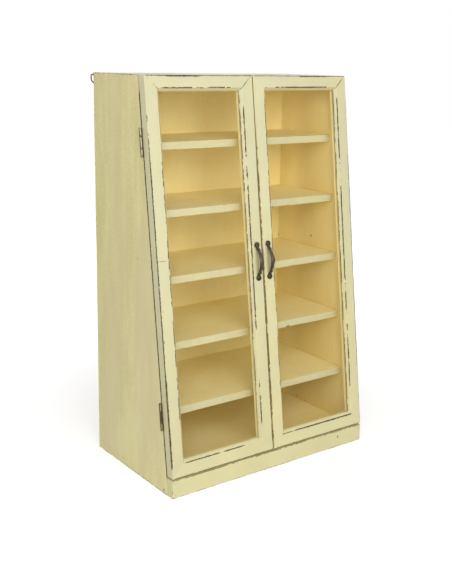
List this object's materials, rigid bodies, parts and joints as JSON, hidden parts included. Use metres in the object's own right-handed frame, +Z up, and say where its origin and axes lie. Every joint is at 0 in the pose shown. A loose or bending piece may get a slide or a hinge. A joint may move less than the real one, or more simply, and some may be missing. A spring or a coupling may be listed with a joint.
{
  "type": "wall display cabinet",
  "caption": "Tall slant-fronted display cabinet with glazed doors on butt hinges, bow handles, fixed shelves, a plinth and hanging rings at the back.",
  "frame": {"origin": "on the floor, under the middle of the case's base", "axes": "+Z up, +Y towards the wall behind, +X to the right of a person facing the doors"},
  "size_m": [0.5126, 0.3003, 0.8],
  "materials": {
    "paint_outside": "pale yellow chalky paint on wood, rubbed through to dark wood along the edges",
    "paint_inside": "the same yellow paint, smoother and a little warmer",
    "glass": "clear float glass",
    "dowel_wood": "bare beech",
    "black_iron": "dark forged iron, slightly burnished on the high spots",
    "hinge_steel": "browned steel, dull",
    "bare_steel": "dull darkened steel"
  },
  "bodies": {
    "case": {"side_left": "paint_outside", "side_right": "paint_outside", "top_panel": "paint_outside", "bottom_panel": "paint_inside", "back_panel": "paint_inside", "plinth_board": "paint_outside", "shelf_1": "paint_inside", "shelf_2": "paint_inside", "shelf_3": "paint_inside", "shelf_4": "paint_inside", "shelf_5": "paint_inside", "panel_dowels": "dowel_wood", "shelf_dowels": "dowel_wood", "plinth_nails": "bare_steel", "back_pins": "bare_steel", "hinge_case_screws": "bare_steel", "hanger_strap_left": "bare_steel", "hanger_strap_right": "bare_steel", "hanger_screws": "bare_steel", "hinge_case_leaf_left_lower": "hinge_steel", "hinge_case_leaf_left_upper": "hinge_steel", "hinge_case_leaf_right_lower": "hinge_steel", "hinge_case_leaf_right_upper": "hinge_steel", "hinge_pin_left_lower": "hinge_steel", "hinge_pin_left_upper": "hinge_steel", "hinge_pin_right_lower": "hinge_steel", "hinge_pin_right_upper": "hinge_steel"},
    "door_left": {"door_left_stile_outer": "paint_outside", "door_left_stile_meeting": "paint_outside", "door_left_rail_top": "paint_outside", "door_left_rail_bottom": "paint_outside", "door_left_glass": "glass", "door_left_bead_outer": "paint_inside", "door_left_bead_top": "paint_inside", "door_left_bead_meeting": "paint_inside", "door_left_bead_bottom": "paint_inside", "hinge_door_leaf_left_lower": "hinge_steel", "hinge_door_leaf_left_upper": "hinge_steel", "hinge_door_screws_left": "bare_steel", "handle_left": "black_iron", "handle_screws_left": "black_iron"},
    "door_right": {"door_right_stile_outer": "paint_outside", "door_right_stile_meeting": "paint_outside", "door_right_rail_top": "paint_outside", "door_right_rail_bottom": "paint_outside", "door_right_glass": "glass", "door_right_bead_outer": "paint_inside", "door_right_bead_top": "paint_inside", "door_right_bead_meeting": "paint_inside", "door_right_bead_bottom": "paint_inside", "hinge_door_leaf_right_lower": "hinge_steel", "hinge_door_leaf_right_upper": "hinge_steel", "hinge_door_screws_right": "bare_steel", "handle_right": "black_iron", "handle_screws_right": "black_iron"},
    "hanger_ring_left": {"hanger_ring_left": "bare_steel"},
    "hanger_ring_right": {"hanger_ring_right": "bare_steel"}
  },
  "joints": [
    {"name": "door_left_hinge", "type": "hinge", "parent": "case", "child": "door_left", "pos_m": [-0.2533, -0.11107, 0.15819], "axis": [0, -0.1332, -0.9911], "range_deg": [0, 190]},
    {"name": "door_right_hinge", "type": "hinge", "parent": "case", "child": "door_right", "pos_m": [0.2533, -0.11107, 0.15819], "axis": [0, 0.1332, 0.9911], "range_deg": [0, 190]},
    {"name": "hanger_ring_left_pivot", "type": "hinge", "parent": "case", "child": "hanger_ring_left", "pos_m": [-0.244, 0.15025, 0.796], "axis": [1, 0, 0], "range_deg": [0, 180]},
    {"name": "hanger_ring_right_pivot", "type": "hinge", "parent": "case", "child": "hanger_ring_right", "pos_m": [0.244, 0.15025, 0.796], "axis": [1, 0, 0], "range_deg": [0, 180]}
  ]
}
